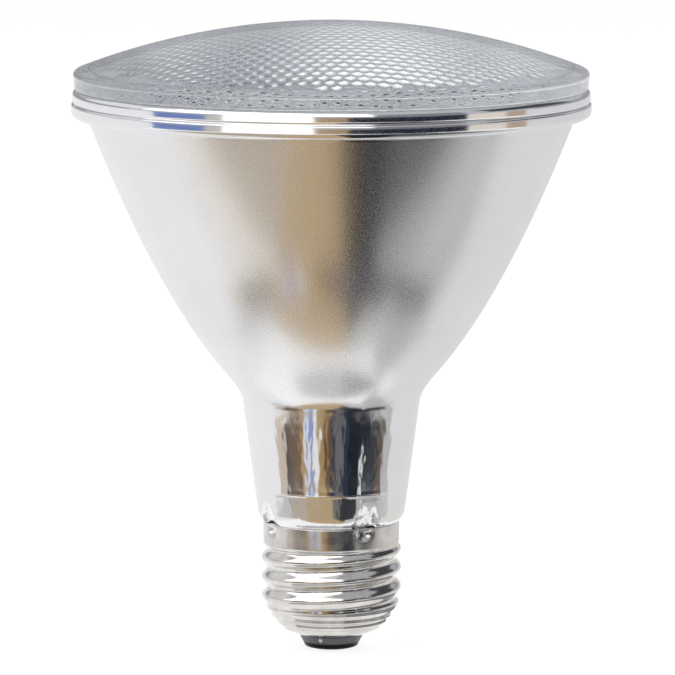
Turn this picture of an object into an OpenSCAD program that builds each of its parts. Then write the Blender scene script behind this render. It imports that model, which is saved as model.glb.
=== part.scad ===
/* [Lens] */
// Radius of the outer face of the dome
lens_dome_r = 132; // [115:0.5:160]
// How far the edge of the lens stands inside the ridge of the flange
lens_edge_in = 0.35; // [0.3:0.05:1]
// Height of the upright edge of the lens above the seam
lens_edge_h = 2.6; // [2.4:0.1:3.2]
// Width of the rounded shoulder between edge and dome
lens_shoulder_w = 1.2; // [1:0.1:2]
// Height of the rounded shoulder
lens_shoulder_h = 1.2; // [1:0.05:1.6]
// Thickness of the glass in the dome
lens_wall = 4.4; // [3.6:0.1:4.6]
// Width of the foot that stands on the flange
lens_foot_w = 4; // [3.4:0.1:5]
// Width of the plain margin between the foot and the lenslets
stipple_margin = 0.6; // [0.5:0.1:20]
// Distance from one lenslet to the next
stipple_pitch = 2.3; // [2.3:0.1:6]
// Height of a lenslet on the inner face
stipple_h = 0.34; // [0.1:0.02:0.6]

/* [Reflector] */
// Height of the seam between lens and flange above the centre contact
seam_z = 105.3; // [100:0.1:112]
// Diameter of the flange at its ridge
flange_d = 96.5; // [96:0.1:99]
// How far the upper lip of the flange stands inside the ridge
flange_lip_in = 0.2; // [0.1:0.05:0.5]
// Height of the upper lip of the flange
flange_lip_h = 2.4; // [1.8:0.1:2.8]
// Height of the ridge under the lip
flange_ridge_h = 0.8; // [0.5:0.1:1.2]
// Height of the rounded underside of the flange
flange_under_h = 2.1; // [1.6:0.1:3]
// Depth and height of the line between lip and ridge
flange_line = 0.2; // [0.1:0.05:0.4]
// How far the top of the bowl stands inside the ridge
bowl_in = 3.08; // [2.6:0.02:4]
// Width of the land between the edge of the mirror and the edge of the lens
mirror_land = 2.83; // [2:0.01:3.4]
// Distance between the vertices of the bowl's two faces
vertex_wall = 1.6; // [1.2:0.1:2.5]
// How far the neck stands outside the skirt of the shell
neck_over = 1.12; // [0.8:0.02:2]
// How much the radius of the neck grows with each millimetre of height
neck_taper = 0.132; // [0.08:0.002:0.18]
// Wall of the neck
neck_wall = 2.2; // [1.6:0.1:2.6]
// Height of the fine mould line above the foot of the neck
mould_line_up = 4.25; // [2:0.05:12]
// How far the mould line stands out
mould_line_h = 0.06; // [0.04:0.01:0.2]
// Height of the shoulder above the screw shell
shoulder_h = 2.3; // [1.5:0.1:3.5]
// Thickness of the glass floor of the neck
floor_t = 3.5; // [2.5:0.1:5]
// Height of the glass floor's top below the top edge of the shell
floor_drop = 2.2; // [1.8:0.1:3]
// Wall of the boss round the well
well_wall = 1.5; // [1.2:0.1:2.5]
// Width of the groove for the bond in the flange
bond_w = 1.2; // [0.8:0.1:1.4]
// Depth of the groove for the bond
bond_h = 0.6; // [0.3:0.1:1]

/* [Screw shell] */
// Height of the top edge of the shell
shell_top_z = 24.2; // [23:0.1:26]
// Height of the lip at the bottom of the shell
shell_lip_z = 2.6; // [2.2:0.1:3]
// Diameter over the crests of the thread
thread_d = 26.2; // [26.05:0.05:26.45]
// Depth of the thread
thread_depth = 0.95; // [0.85:0.01:1.1]
// How far the plain skirt stands inside the crests
skirt_in = 0.35; // [0.2:0.05:0.5]
// Height of the plain skirt above the thread
skirt_h = 3.8; // [3.2:0.1:5]
// Height of the stepped foot below the thread
foot_h = 5.1; // [4.5:0.1:6]
// Pitch of the thread
thread_pitch = 3.629; // [3.4:0.001:3.8]
// Height of a crest at the +X side
thread_phase_z = 15.35; // [13.6:0.05:17]
// Length over which the thread fades in and out
thread_fade = 1.5; // [0.8:0.1:2]
// Thickness of the sheet
sheet_t = 0.3; // [0.2:0.02:0.4]
// Diameter of the hole in the lip
lip_d = 12.4; // [11.6:0.1:13]

/* [Stakes] */
// Angle of the first staked dent from the +X axis
stake_angle = -61; // [-80:1:-50]
// Height of the dents below the top edge of the shell
stake_drop = 1; // [0.8:0.1:1.6]
// Width of a dent
stake_w = 3.8; // [2.4:0.1:4.4]
// Height of a dent
stake_h = 3; // [2:0.1:3.4]
// Depth of a dent
stake_depth = 0.9; // [0.5:0.05:1]
// Room beside a dent in its glass pocket
pocket_room = 0.6; // [0.4:0.1:1]
// Height of a glass pocket above the top edge of the shell
pocket_rise = 5; // [3:0.1:6]

/* [Base] */
// Height of the cone of the insulator below the lip
insulator_drop = 2.35; // [2:0.05:2.5]
// How far the foot of the cone stands inside the hole in the lip
insulator_in = 1.1; // [0.8:0.1:1.6]
// Radius of the rounded foot edge
insulator_round = 0.7; // [0.3:0.1:0.9]
// Height of the insulator above the lip, inside the shell
insulator_rise = 3.6; // [2.5:0.1:4]
// Diameter of the centre contact
contact_d = 7.8; // [6:0.1:8]
// Thickness of the centre contact
contact_t = 0.5; // [0.3:0.05:0.8]
// Diameter of the solder in the contact
solder_d = 2.4; // [2:0.1:3]
// Diameter of the solder bead on the lip
bead_d = 0.8; // [0.5:0.1:1.2]
// Angle of the solder bead from the +X axis
bead_angle = -107; // [-180:1:180]

/* [Halogen capsule] */
// Diameter of the quartz tube
capsule_d = 10.4; // [9.6:0.1:12]
// Wall of the quartz tube
capsule_wall = 1; // [0.8:0.1:1.2]
// Height of the foot of the pinch seal above the glass floor
pinch_lift = 4; // [3:0.1:6]
// Height of the pinch seal
pinch_h = 11; // [9:0.5:13]
// Width of the pinch seal
pinch_w = 9; // [8.4:0.1:10]
// Thickness of the pinch seal
pinch_t = 3.2; // [2.6:0.1:3.6]
// Height of the straight tube above the pinch seal
tube_h = 20; // [18:0.5:24]
// Length of the exhaust tip
tip_h = 2.4; // [1.5:0.1:4]
// Height of the middle of the filament above the pinch seal
light_h = 13.7; // [12:0.1:16]
// Diameter of the filament coil
coil_d = 2.2; // [1.8:0.1:3]
// Length of the filament coil
coil_l = 9; // [6:0.5:11]
// Turns of the filament coil
coil_turns = 12; // [6:1:12]
// Diameter of the filament's strand
strand_d = 0.36; // [0.2:0.02:0.4]
// Diameter of the inner leads
inner_lead_d = 0.5; // [0.4:0.05:0.6]
// Width of a foil
foil_w = 2; // [1.4:0.1:2.4]
// Height of a foil
foil_h = 5; // [4:0.5:6]
// Thickness of a foil
foil_t = 0.1; // [0.06:0.02:0.2]
// Diameter of the outer pins and of the lead wires
pin_d = 0.8; // [0.6:0.05:1]
// Distance between the two pins
pin_gap = 5.2; // [4.8:0.1:5.6]

/* [Mount in the neck] */
// Gap between the plate of the clip and the wall of the well
clip_room = 1.2; // [0.6:0.1:3]
// Thickness of the sheet of the clip
clip_t = 0.4; // [0.3:0.05:0.6]
// Height of the tabs of the clip above its plate
tab_h = 8; // [6:0.5:11]
// Width of the tabs
tab_w = 6; // [4:0.5:8]
// Diameter of the ferrules
ferrule_d = 2.2; // [2:0.1:2.6]
// Diameter of the heads of the ferrules
ferrule_head_d = 3.4; // [3:0.1:4]
// Diameter of the thin fuse wire
fuse_d = 0.3; // [0.2:0.05:0.4]
// Length of the fuse wire
fuse_l = 3; // [2:0.5:4]
// Wall of the insulating sleeve
sleeve_wall = 0.35; // [0.2:0.05:0.5]

/* [Clearances] */
// Gap between the glass boss and the shell
boss_gap = 0.15; // [0.1:0.01:0.3]
// Gap between pieces that are pushed together
fit_gap = 0.05; // [0.03:0.01:0.1]

/* [Hidden] */
$fn = 96;

clear_glass = [0.82, 0.86, 0.88, 0.55];
mirrored_glass = [0.8, 0.8, 0.8];
nickel = [0.72, 0.68, 0.62];
black_glass = [0.12, 0.12, 0.13];
quartz = [0.85, 0.9, 0.95, 0.5];

// Heights and radii that several pieces share
crest_r = thread_d / 2;
root_r = crest_r - thread_depth;
skirt_r = crest_r - skirt_in;
mean_r = (crest_r + root_r) / 2;
thread_top_z = shell_top_z - skirt_h;
thread_low_z = shell_lip_z + foot_h;
lip_r = lip_d / 2;
stake_z = shell_top_z - stake_drop;
floor_top_z = shell_top_z - floor_drop;
floor_low_z = floor_top_z - floor_t;
flange_r = flange_d / 2;
lens_edge_r = flange_r - lens_edge_in;
pinch_low_z = floor_top_z + pinch_lift;
pinch_top_z = pinch_low_z + pinch_h;
light_z = pinch_top_z + light_h;
pin_x = pin_gap / 2;
pin_r = pin_d / 2;

// Curves that several outlines share
function arc(centre, r, from, to, steps) =
    [for (i = [0:steps]) let (a = from + (to - from) * i / steps) centre + r * [cos(a), sin(a)]];
function bend(a, b, c, steps) =
    [for (i = [0:steps]) let (t = i / steps) (1 - t) * (1 - t) * a + 2 * t * (1 - t) * b + t * t * c];
function ring_point(r, a, z) = [r * cos(a), r * sin(a), z];
function tidy(p) = [for (v = p) round(v * 1e6) / 1e6];
function smooth(t) = let (u = min(1, max(0, t))) u * u * (3 - 2 * u);

// Faces of a tube of closed rings, first ring to last, with both ends filled
function tube_faces(rings, sides) = concat(
    [[for (i = [0:sides - 1]) i]],
    [for (k = [0:rings - 2]) for (i = [0:sides - 1]) let (j = (i + 1) % sides)
        [k * sides + i, (k + 1) * sides + j, k * sides + j]],
    [for (k = [0:rings - 2]) for (i = [0:sides - 1]) let (j = (i + 1) % sides)
        [k * sides + i, (k + 1) * sides + i, (k + 1) * sides + j]],
    [[for (i = [0:sides - 1]) rings * sides - 1 - i]]
);
function unit(v) = v / norm(v);
function along(path, k) = let (last = len(path) - 1)
    unit(path[min(k + 1, last)] - path[max(k - 1, 0)]);

// Round wire along a path, where across[k] is square to the path at its point k
module wire(path, across, d, sides) {
    points = [for (k = [0:len(path) - 1]) let (t = along(path, k), u = across[k], v = cross(t, u))
        for (i = [0:sides - 1]) let (a = 360 * i / sides) path[k] + d / 2 * (cos(a) * u + sin(a) * v)];
    polyhedron(points, tube_faces(len(path), sides), convexity = 10);
}

// Wire that stays in the plane of X and Z
module flat_wire(path, d) {
    wire(path, [for (p = path) [0, 1, 0]], d, wire_sides);
}
wire_sides = 8;

// Lens: one glass solid whose inner face is a hexagonal lattice of lenslets
dome_edge_r = lens_edge_r - lens_shoulder_w;
dome_edge_z = seam_z + lens_edge_h + lens_shoulder_h;
dome_centre_z = dome_edge_z - sqrt(pow(lens_dome_r, 2) - pow(dome_edge_r, 2));
inner_dome_r = lens_dome_r - lens_wall;
foot_in_r = lens_edge_r - lens_foot_w;
field_r = foot_in_r - stipple_margin;
row_step = stipple_pitch * sqrt(3) / 2;
cell_r = stipple_pitch / sqrt(3);
reach = ceil(field_r / row_step);
function dome_z(r, ball_r) = dome_centre_z + sqrt(ball_r * ball_r - r * r);
function cell_x(c) = stipple_pitch * (c[0] + c[1] / 2);
function cell_y(c) = row_step * c[1];
function cell_in(c) = norm([cell_x(c), cell_y(c)]) + cell_r <= field_r;
STEPS_TO_NEXT = [[1, 0], [0, 1], [-1, 1], [-1, 0], [0, -1], [1, -1]];
function corner(c, k) = let (a = 60 * k - 30) [cell_x(c) + cell_r * cos(a), cell_y(c) + cell_r * sin(a)];
function on_inner(p) = [p[0], p[1], dome_z(norm(p), inner_dome_r)];
function on_circle(p, ring) = let (q = ring[0] / norm(p)) [p[0] * q, p[1] * q, ring[1]];

module lens() {
    cells = [for (j = [-reach:reach]) for (i = [-2 * reach:2 * reach]) if (cell_in([i, j])) [i, j]];
    edge_top = [lens_edge_r, seam_z + lens_edge_h];
    edge_on_dome = [lens_edge_r, dome_z(lens_edge_r, lens_dome_r)];
    dome_steps = 3;
    rim = concat(
        [[foot_in_r, seam_z], [lens_edge_r, seam_z]],
        bend(edge_top, edge_on_dome, [dome_edge_r, dome_edge_z], 2),
        [for (k = [dome_steps - 1:-1:1]) let (r = dome_edge_r * k / dome_steps) [r, dome_z(r, lens_dome_r)]]
    );
    apex = [0, 0, dome_z(0, lens_dome_r)];
    lenslets = [for (c = cells) for (k = [0:5]) [
        on_inner(corner(c, k)),
        on_inner(corner(c, k + 1)),
        on_inner([cell_x(c), cell_y(c)]) - [0, 0, stipple_h]
    ]];
    edges = [for (c = cells) for (k = [0:5])
        if (!cell_in(c + STEPS_TO_NEXT[k])) [corner(c, k), corner(c, k + 1)]];
    margin = [for (e = edges) let (a = on_circle(e[0], rim[0]), b = on_circle(e[1], rim[0]))
        for (t = [[on_inner(e[0]), a, b], [on_inner(e[0]), b, on_inner(e[1])]]) t];
    walls = [for (e = edges) for (k = [0:len(rim) - 2])
        let (a = on_circle(e[0], rim[k]), b = on_circle(e[1], rim[k]),
             c = on_circle(e[0], rim[k + 1]), d = on_circle(e[1], rim[k + 1]))
        for (t = [[a, c, d], [a, d, b]]) t];
    last = rim[len(rim) - 1];
    cap = [for (e = edges) [on_circle(e[0], last), apex, on_circle(e[1], last)]];
    triangles = concat(lenslets, margin, walls, cap);
    color(clear_glass)
        polyhedron([for (t = triangles) for (p = t) tidy(p)],
            [for (n = [0:len(triangles) - 1]) [3 * n, 3 * n + 1, 3 * n + 2]], convexity = 10);
}

// Reflector: bowl, flange, neck, floor and boss are one pressing of glass
neck_foot_z = shell_top_z + shoulder_h;
neck_foot_r = skirt_r + neck_over;
mould_line_z = neck_foot_z + mould_line_up;
lip_outer_r = flange_r - flange_lip_in;
lip_low_z = seam_z - flange_lip_h;
ridge_top_z = lip_low_z - flange_line;
ridge_low_z = ridge_top_z - flange_ridge_h;
bowl_top_z = ridge_low_z - flange_under_h;
bowl_top_r = flange_r - bowl_in;
boss_r = skirt_r - sheet_t - boss_gap;
boss_low_r = root_r - sheet_t - boss_gap;
boss_step_z = thread_top_z + 0.6;
well_r = boss_low_r - well_wall;
well_top_z = neck_foot_z + 4;
well_round = 1;
edge_round = 0.15;
seam_bevel = 0.3;
mould_line_half = 0.2;
function neck_r(z) = neck_foot_r + neck_taper * (z - neck_foot_z);

// The mirror is a paraboloid through its edge, with its focus at the filament; the outer face follows it
mirror_edge_r = lens_edge_r - mirror_land;
mirror_rise = seam_z - light_z;
mirror_f = (sqrt(pow(mirror_rise, 2) + pow(mirror_edge_r, 2)) - mirror_rise) / 2;
mirror_vertex_z = light_z - mirror_f;
bowl_vertex_z = mirror_vertex_z - vertex_wall;
bowl_f = pow(bowl_top_r, 2) / (4 * (bowl_top_z - bowl_vertex_z));
groove_mid_r = (mirror_edge_r + lens_edge_r) / 2;
function parabola_r(z, f, vertex_z) = sqrt(4 * f * (z - vertex_z));

// Height where the straight neck, offset inwards by wall, meets a parabola
function meet_z(wall, f, vertex_z) = let (
    foot = neck_r(0) - wall,
    b = 4 * f - 2 * foot * neck_taper,
    c = foot * foot + 4 * f * vertex_z)
    (b - sqrt(b * b - 4 * pow(neck_taper, 2) * c)) / (2 * pow(neck_taper, 2));

// Side of the bowl from the neck up: a rounded throat, then the parabola to its top
throat_below = 2.2;
throat_above = 3.2;
throat_steps = 6;
bowl_steps = 28;
function bowl_side(wall, f, vertex_z, top_z) = let (
    z = meet_z(wall, f, vertex_z),
    low_z = z - throat_below,
    high_z = z + throat_above,
    r = parabola_r(high_z, f, vertex_z),
    slope = 2 * f / r,
    turn_z = (r - slope * high_z - neck_r(0) + wall) / (neck_taper - slope))
    concat(
        bend([neck_r(low_z) - wall, low_z], [neck_r(turn_z) - wall, turn_z], [r, high_z], throat_steps),
        [for (i = [1:bowl_steps]) let (h = high_z + (top_z - high_z) * i / bowl_steps)
            [parabola_r(h, f, vertex_z), h]]
    );
function reverse(list) = [for (i = [len(list) - 1:-1:0]) list[i]];

function boss_outline() = [
    [0, floor_low_z],
    [boss_low_r - seam_bevel, floor_low_z],
    [boss_low_r, floor_low_z + seam_bevel],
    [boss_low_r, thread_top_z],
    [boss_r, boss_step_z],
    [boss_r, shell_top_z + fit_gap],
    [skirt_r, shell_top_z + fit_gap]
];
function shoulder_outline() = concat(
    bend([skirt_r + fit_gap, shell_top_z + fit_gap],
        [neck_foot_r - seam_bevel, shell_top_z + 2 * seam_bevel],
        [neck_foot_r, neck_foot_z], 5),
    [[neck_r(mould_line_z - mould_line_half), mould_line_z - mould_line_half]],
    [[neck_r(mould_line_z) + mould_line_h, mould_line_z]],
    [[neck_r(mould_line_z + mould_line_half), mould_line_z + mould_line_half]]
);
function flange_outline() = concat(
    bend([bowl_top_r + seam_bevel, bowl_top_z + edge_round], [flange_r, bowl_top_z + seam_bevel],
        [flange_r, ridge_low_z], 6),
    [[flange_r, ridge_top_z - edge_round], [flange_r - edge_round, ridge_top_z]],
    [[lip_outer_r - flange_line, ridge_top_z], [lip_outer_r - flange_line, lip_low_z]],
    [[lip_outer_r, lip_low_z + edge_round]],
    [[lip_outer_r, seam_z - seam_bevel], [lip_outer_r - seam_bevel, seam_z]]
);
function well_outline() = concat(
    bend([neck_r(well_top_z) - neck_wall, well_top_z], [well_r, well_top_z - 2 * well_round],
        [well_r, floor_top_z + 2 * well_round], 5),
    arc([well_r - well_round, floor_top_z + well_round], well_round, 0, -90, 4),
    [[0, floor_top_z]]
);
function reflector_outline() = concat(
    boss_outline(),
    shoulder_outline(),
    bowl_side(0, bowl_f, bowl_vertex_z, bowl_top_z),
    flange_outline(),
    reverse(bowl_side(neck_wall, mirror_f, mirror_vertex_z, seam_z)),
    well_outline()
);

// Slanted flat pocket in the shoulder, into which the shell is staked
pocket_floor_r = skirt_r - sheet_t - stake_depth - boss_gap;
pocket_top_z = shell_top_z + pocket_rise;
pocket_tilt = atan2(neck_r(pocket_top_z) - pocket_floor_r, pocket_top_z - stake_z);
pocket_narrowing = 0.62;
module stake_pocket() {
    low = (stake_h + pocket_room) / 2 / cos(pocket_tilt);
    high = (pocket_top_z - stake_z) / cos(pocket_tilt) + pocket_room;
    low_x = stake_w / 2 + pocket_room;
    top_x = low_x * pocket_narrowing;
    outline = [[-low_x, -low], [low_x, -low], [top_x, high], [-top_x, high]];
    translate([pocket_floor_r, 0, stake_z]) rotate([0, pocket_tilt, 0]) rotate([90, 0, 90])
        linear_extrude(2 * neck_over + 2 * stake_depth) polygon(outline);
}

module reflector() {
    color(mirrored_glass) difference() {
        rotate_extrude() polygon(reflector_outline());
        bond_ring(0.1);
        for (q = [0:3]) rotate([0, 0, stake_angle + 90 * q]) stake_pocket();
        for (x = [-pin_x, pin_x]) translate([x, 0, floor_low_z - 1])
            cylinder(d = ferrule_d + 2 * fit_gap, h = floor_t + 2);
    }
}

// Bead of cement in its groove, which the lens rests on; over is how far a cutter stands above it
module bond_ring(over) {
    translate([0, 0, seam_z - bond_h]) difference() {
        cylinder(r = groove_mid_r + bond_w / 2, h = bond_h + over);
        translate([0, 0, -1]) cylinder(r = groove_mid_r - bond_w / 2, h = bond_h + 3);
    }
}
module lens_bond() { color([0.35, 0.35, 0.36]) bond_ring(0); }

// Screw shell: thin sheet with a rolled right-handed thread, four dents and a stepped foot
STEPS_IN_FOOT = [
    [0, 0], [0.13, 0.14], [0.16, 0.27], [0.27, 0.36], [0.31, 0.51], [0.45, 0.66], [0.66, 0.82], [1, 1]
];
columns_per_stake = 14;
skirt_rows = 7;
row_drop = thread_pitch / 5;
thread_rows = ceil((thread_top_z - thread_low_z) / row_drop);
function foot_point(k) = let (s = STEPS_IN_FOOT[k])
    [root_r + (lip_r - root_r) * s[0], thread_low_z + (shell_lip_z - thread_low_z) * s[1]];
function stepped_z(k) = shell_top_z + (thread_top_z - shell_top_z) * pow(k / skirt_rows, 1.15);
function threaded_r(z) = mean_r + (skirt_r - mean_r) * (1 - smooth((thread_top_z - z) / thread_fade))
    - (mean_r - root_r) * (1 - smooth((z - thread_low_z) / thread_fade));
SHELL_ROWS = concat(
    [for (k = [0:skirt_rows - 1]) [skirt_r, stepped_z(k)]],
    [for (k = [0:thread_rows - 1]) let (z = thread_top_z - (thread_top_z - thread_low_z) * k / thread_rows)
        [threaded_r(z), z]],
    [for (k = [0:len(STEPS_IN_FOOT) - 1]) foot_point(k)]
);

// Row k moved inwards by d, square to the sheet
function inset_row(k, d) = let (
    last = len(SHELL_ROWS) - 1,
    way = unit(SHELL_ROWS[min(k + 1, last)] - SHELL_ROWS[max(k - 1, 0)]))
    SHELL_ROWS[k] + d * [way[1], -way[0]];
function angle_gap(a, b) = let (d = abs(a - b) % 360) min(d, 360 - d);
function dent(a, z) = let (
    gap = min([for (q = [0:3]) angle_gap(a, stake_angle + 90 * q + 720)]),
    across = gap * PI / 180 * skirt_r / (stake_w / 2),
    up = (z - stake_z) / (stake_h / 2),
    left = 1 - across * across - up * up)
    left > 0 ? stake_depth * pow(left, 1.5) : 0;
function thread_wave(a, z) = thread_depth / 2 * cos(360 * (z - thread_phase_z) / thread_pitch - a)
    * smooth((thread_top_z - z) / thread_fade) * smooth((z - thread_low_z) / thread_fade);
COLUMN_ANGLES = [for (q = [0:3]) for (u = [0:columns_per_stake - 1])
    let (t = 2 * u / columns_per_stake - 1) stake_angle + 90 * q + 45 * sign(t) * pow(abs(t), 1.6) + 720];

module screw_shell() {
    rows = len(SHELL_ROWS);
    sides = len(COLUMN_ANGLES);
    outer = [for (k = [0:rows - 1]) for (a = COLUMN_ANGLES) let (p = SHELL_ROWS[k])
        ring_point(p[0] + thread_wave(a, p[1]) - dent(a, p[1]), a, p[1])];
    inner = [for (k = [rows - 1:-1:0]) for (a = COLUMN_ANGLES)
        let (p = inset_row(k, sheet_t), z = SHELL_ROWS[k][1])
        ring_point(p[0] + thread_wave(a, z) - dent(a, z), a, p[1])];
    faces = [for (k = [0:2 * rows - 1]) for (i = [0:sides - 1]) for (half = [0, 1])
        let (j = (i + 1) % sides, a = k * sides, b = ((k + 1) % (2 * rows)) * sides)
        half == 0 ? [a + i, b + j, b + i] : [a + i, a + j, b + j]];
    color(nickel) polyhedron(concat(outer, inner), faces, convexity = 10);
}

// Bead of solder that sits against the lip
module solder_bead() {
    last = len(STEPS_IN_FOOT) - 1;
    way = unit(foot_point(last) - foot_point(last - 1));
    centre = foot_point(last) - way * bead_d / 2 + (bead_d / 2) * [-way[1], way[0]];
    color("silver") rotate([0, 0, bead_angle]) translate([centre[0], 0, centre[1]]) sphere(d = bead_d);
}

// Insulator: glass poured into the foot of the shell, with a cone below the lip
insulator_low_z = shell_lip_z - insulator_drop;
insulator_top_z = shell_lip_z + insulator_rise;
barrel_wall = 0.3;
barrel_r = solder_d / 2 + barrel_wall;
barrel_top_z = 2;
insulator_wall = sheet_t + fit_gap;
INNER_ROWS = [for (k = [len(SHELL_ROWS) - 1:-1:0]) if (inset_row(k, insulator_wall)[1] < insulator_top_z)
    inset_row(k, insulator_wall)];
module base_insulator() {
    foot_r = lip_r - insulator_in;
    waist_r = INNER_ROWS[0][0] - fit_gap;
    outline = concat(
        [[0, insulator_low_z]],
        bend([foot_r - insulator_round, insulator_low_z], [foot_r - 2 * fit_gap, insulator_low_z],
            [foot_r, insulator_low_z + insulator_round], 5),
        [[waist_r, shell_lip_z - 2 * fit_gap], [waist_r, INNER_ROWS[0][1]]],
        INNER_ROWS,
        [[INNER_ROWS[len(INNER_ROWS) - 1][0], insulator_top_z], [0, insulator_top_z]]
    );
    color(black_glass) difference() {
        rotate_extrude() polygon(outline);
        translate([0, 0, -1]) cylinder(d = contact_d + 2 * fit_gap, h = contact_t + 1);
        translate([0, 0, -1]) cylinder(r = barrel_r + fit_gap, h = barrel_top_z + fit_gap + 1);
        translate([0, 0, -1]) cylinder(r = pin_r + fit_gap, h = insulator_top_z + 2);
    }
}

// Centre contact: an eyelet whose barrel is filled with solder round the lead
contact_round = 0.15;
lead_foot_z = 0.4;
module contact_eyelet() {
    r = contact_d / 2;
    hole_r = solder_d / 2;
    outline = concat(
        [[hole_r, 0]],
        bend([r - contact_round, 0], [r, 0], [r, contact_round], 3),
        [[r, contact_t], [barrel_r, contact_t], [barrel_r, barrel_top_z], [hole_r, barrel_top_z]]
    );
    color("silver") rotate_extrude() polygon(outline);
}
module contact_solder() {
    color("darkgray") difference() {
        cylinder(d = solder_d, h = barrel_top_z - barrel_wall);
        translate([0, 0, lead_foot_z]) cylinder(r = pin_r, h = barrel_top_z);
    }
}

// Capsule: quartz tube with a round top and exhaust tip, pressed flat at its foot round the foils
capsule_r = capsule_d / 2;
bore_r = capsule_r - capsule_wall;
tube_top_z = pinch_top_z + tube_h;
foil_low_z = pinch_low_z + 3.5;
foil_top_z = foil_low_z + foil_h;
bore_round = 1.5;
bore_low_z = pinch_top_z + 0.6;
tip_r = 0.35;
tip_from = 80;
module capsule() {
    shoulder = capsule_r - pinch_t / 2;
    color(quartz) difference() {
        union() {
            translate([-pinch_w / 2, -pinch_t / 2, pinch_low_z]) cube([pinch_w, pinch_t, pinch_h]);
            rotate_extrude() polygon(concat(
                [[0, pinch_top_z - shoulder], [pinch_t / 2, pinch_top_z - shoulder]],
                [[capsule_r, pinch_top_z]],
                arc([0, tube_top_z], capsule_r, 0, tip_from, 10),
                [[tip_r, tube_top_z + capsule_r + tip_h], [0, tube_top_z + capsule_r + tip_h]]
            ));
        }
        rotate_extrude() polygon(concat(
            [[0, bore_low_z]],
            bend([bore_r - bore_round, bore_low_z], [bore_r, bore_low_z],
                [bore_r, bore_low_z + bore_round], 4),
            arc([0, tube_top_z], bore_r, 0, 90, 10)
        ));
        for (x = [-pin_x, pin_x]) {
            translate([x - foil_w / 2, -foil_t / 2, foil_low_z]) cube([foil_w, foil_t, foil_h]);
            translate([x, 0, foil_top_z]) cylinder(d = inner_lead_d, h = pinch_h);
            translate([x, 0, pinch_low_z - 1]) cylinder(r = pin_r, h = foil_low_z - pinch_low_z + 1);
        }
    }
}

// Filament and its two leads inside the capsule
coil_r = coil_d / 2;
coil_low_z = light_z - coil_l / 2;
coil_high_z = light_z + coil_l / 2;
coil_steps = 12;
module filament() {
    count = coil_turns * coil_steps;
    path = [for (k = [0:count]) ring_point(coil_r, 360 * k / coil_steps, coil_low_z + coil_l * k / count)];
    across = [for (k = [0:count]) ring_point(1, 360 * k / coil_steps, 0)];
    color("dimgray") wire(path, across, strand_d, 6);
}
lead_reach = strand_d / 2 + fit_gap;
lead_low_z = bore_low_z + inner_lead_d;
sway_steps = 8;

// Points of a wire that leaves a straight up and reaches another height and side straight up again
function sway(x0, z0, x1, z1) = [for (i = [0:sway_steps]) let (t = i / sway_steps)
    [x0 + (x1 - x0) * smooth(t), 0, z0 + (z1 - z0) * t]];
function in_plane(points) = [for (p = points) [p[0], 0, p[1]]];

module filament_lead_low() {
    color("gray") flat_wire(concat(
        [[pin_x, 0, foil_top_z]],
        sway(pin_x, lead_low_z, coil_r, coil_low_z - 2 * inner_lead_d),
        [[coil_r, 0, coil_low_z - lead_reach]]
    ), inner_lead_d);
}
module filament_lead_high() {
    side_x = bore_r - inner_lead_d - boss_gap;
    turn = 2 * inner_lead_d;
    over_z = coil_high_z + 2 * turn;
    color("gray") flat_wire(concat(
        [[-pin_x, 0, foil_top_z]],
        sway(-pin_x, lead_low_z, -side_x, coil_low_z),
        in_plane(arc([turn - side_x, over_z - turn], turn, 180, 90, 5)),
        in_plane(arc([coil_r - turn, over_z - turn], turn, 90, 0, 5)),
        [[coil_r, 0, coil_high_z + lead_reach]]
    ), inner_lead_d);
}

// Foils and outer pins, one of each at either side
module foil(side) {
    color("slategray") translate([side * pin_x - foil_w / 2, -foil_t / 2, foil_low_z])
        cube([foil_w, foil_t, foil_h]);
}
pin_below = 2;
pin_low_z = floor_low_z - pin_below;
module pin(side) {
    color("silver") translate([side * pin_x, 0, pin_low_z]) cylinder(r = pin_r, h = foil_low_z - pin_low_z);
}

// Clip: a plate on the glass floor with two tabs that hold the pinch
module capsule_clip() {
    color("lightgray") difference() {
        union() {
            translate([0, 0, floor_top_z]) cylinder(r = well_r - clip_room, h = clip_t);
            for (y = [-pinch_t / 2 - clip_t, pinch_t / 2]) translate([-tab_w / 2, y, floor_top_z])
                cube([tab_w, clip_t, clip_t + tab_h]);
        }
        for (x = [-pin_x, pin_x]) translate([x, 0, floor_top_z - 1])
            cylinder(d = ferrule_d + 2 * fit_gap, h = clip_t + 2);
    }
}
head_t = 0.3;
module ferrule(side) {
    color("silver") translate([side * pin_x, 0, 0]) difference() {
        union() {
            translate([0, 0, floor_low_z]) cylinder(d = ferrule_d, h = floor_t + clip_t);
            translate([0, 0, floor_low_z - head_t]) cylinder(d = ferrule_head_d, h = head_t);
            translate([0, 0, floor_top_z + clip_t]) cylinder(d = pinch_t - 4 * fit_gap, h = head_t);
        }
        translate([0, 0, floor_low_z - 1]) cylinder(r = pin_r + fit_gap, h = floor_t + clip_t + 2);
    }
}

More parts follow.
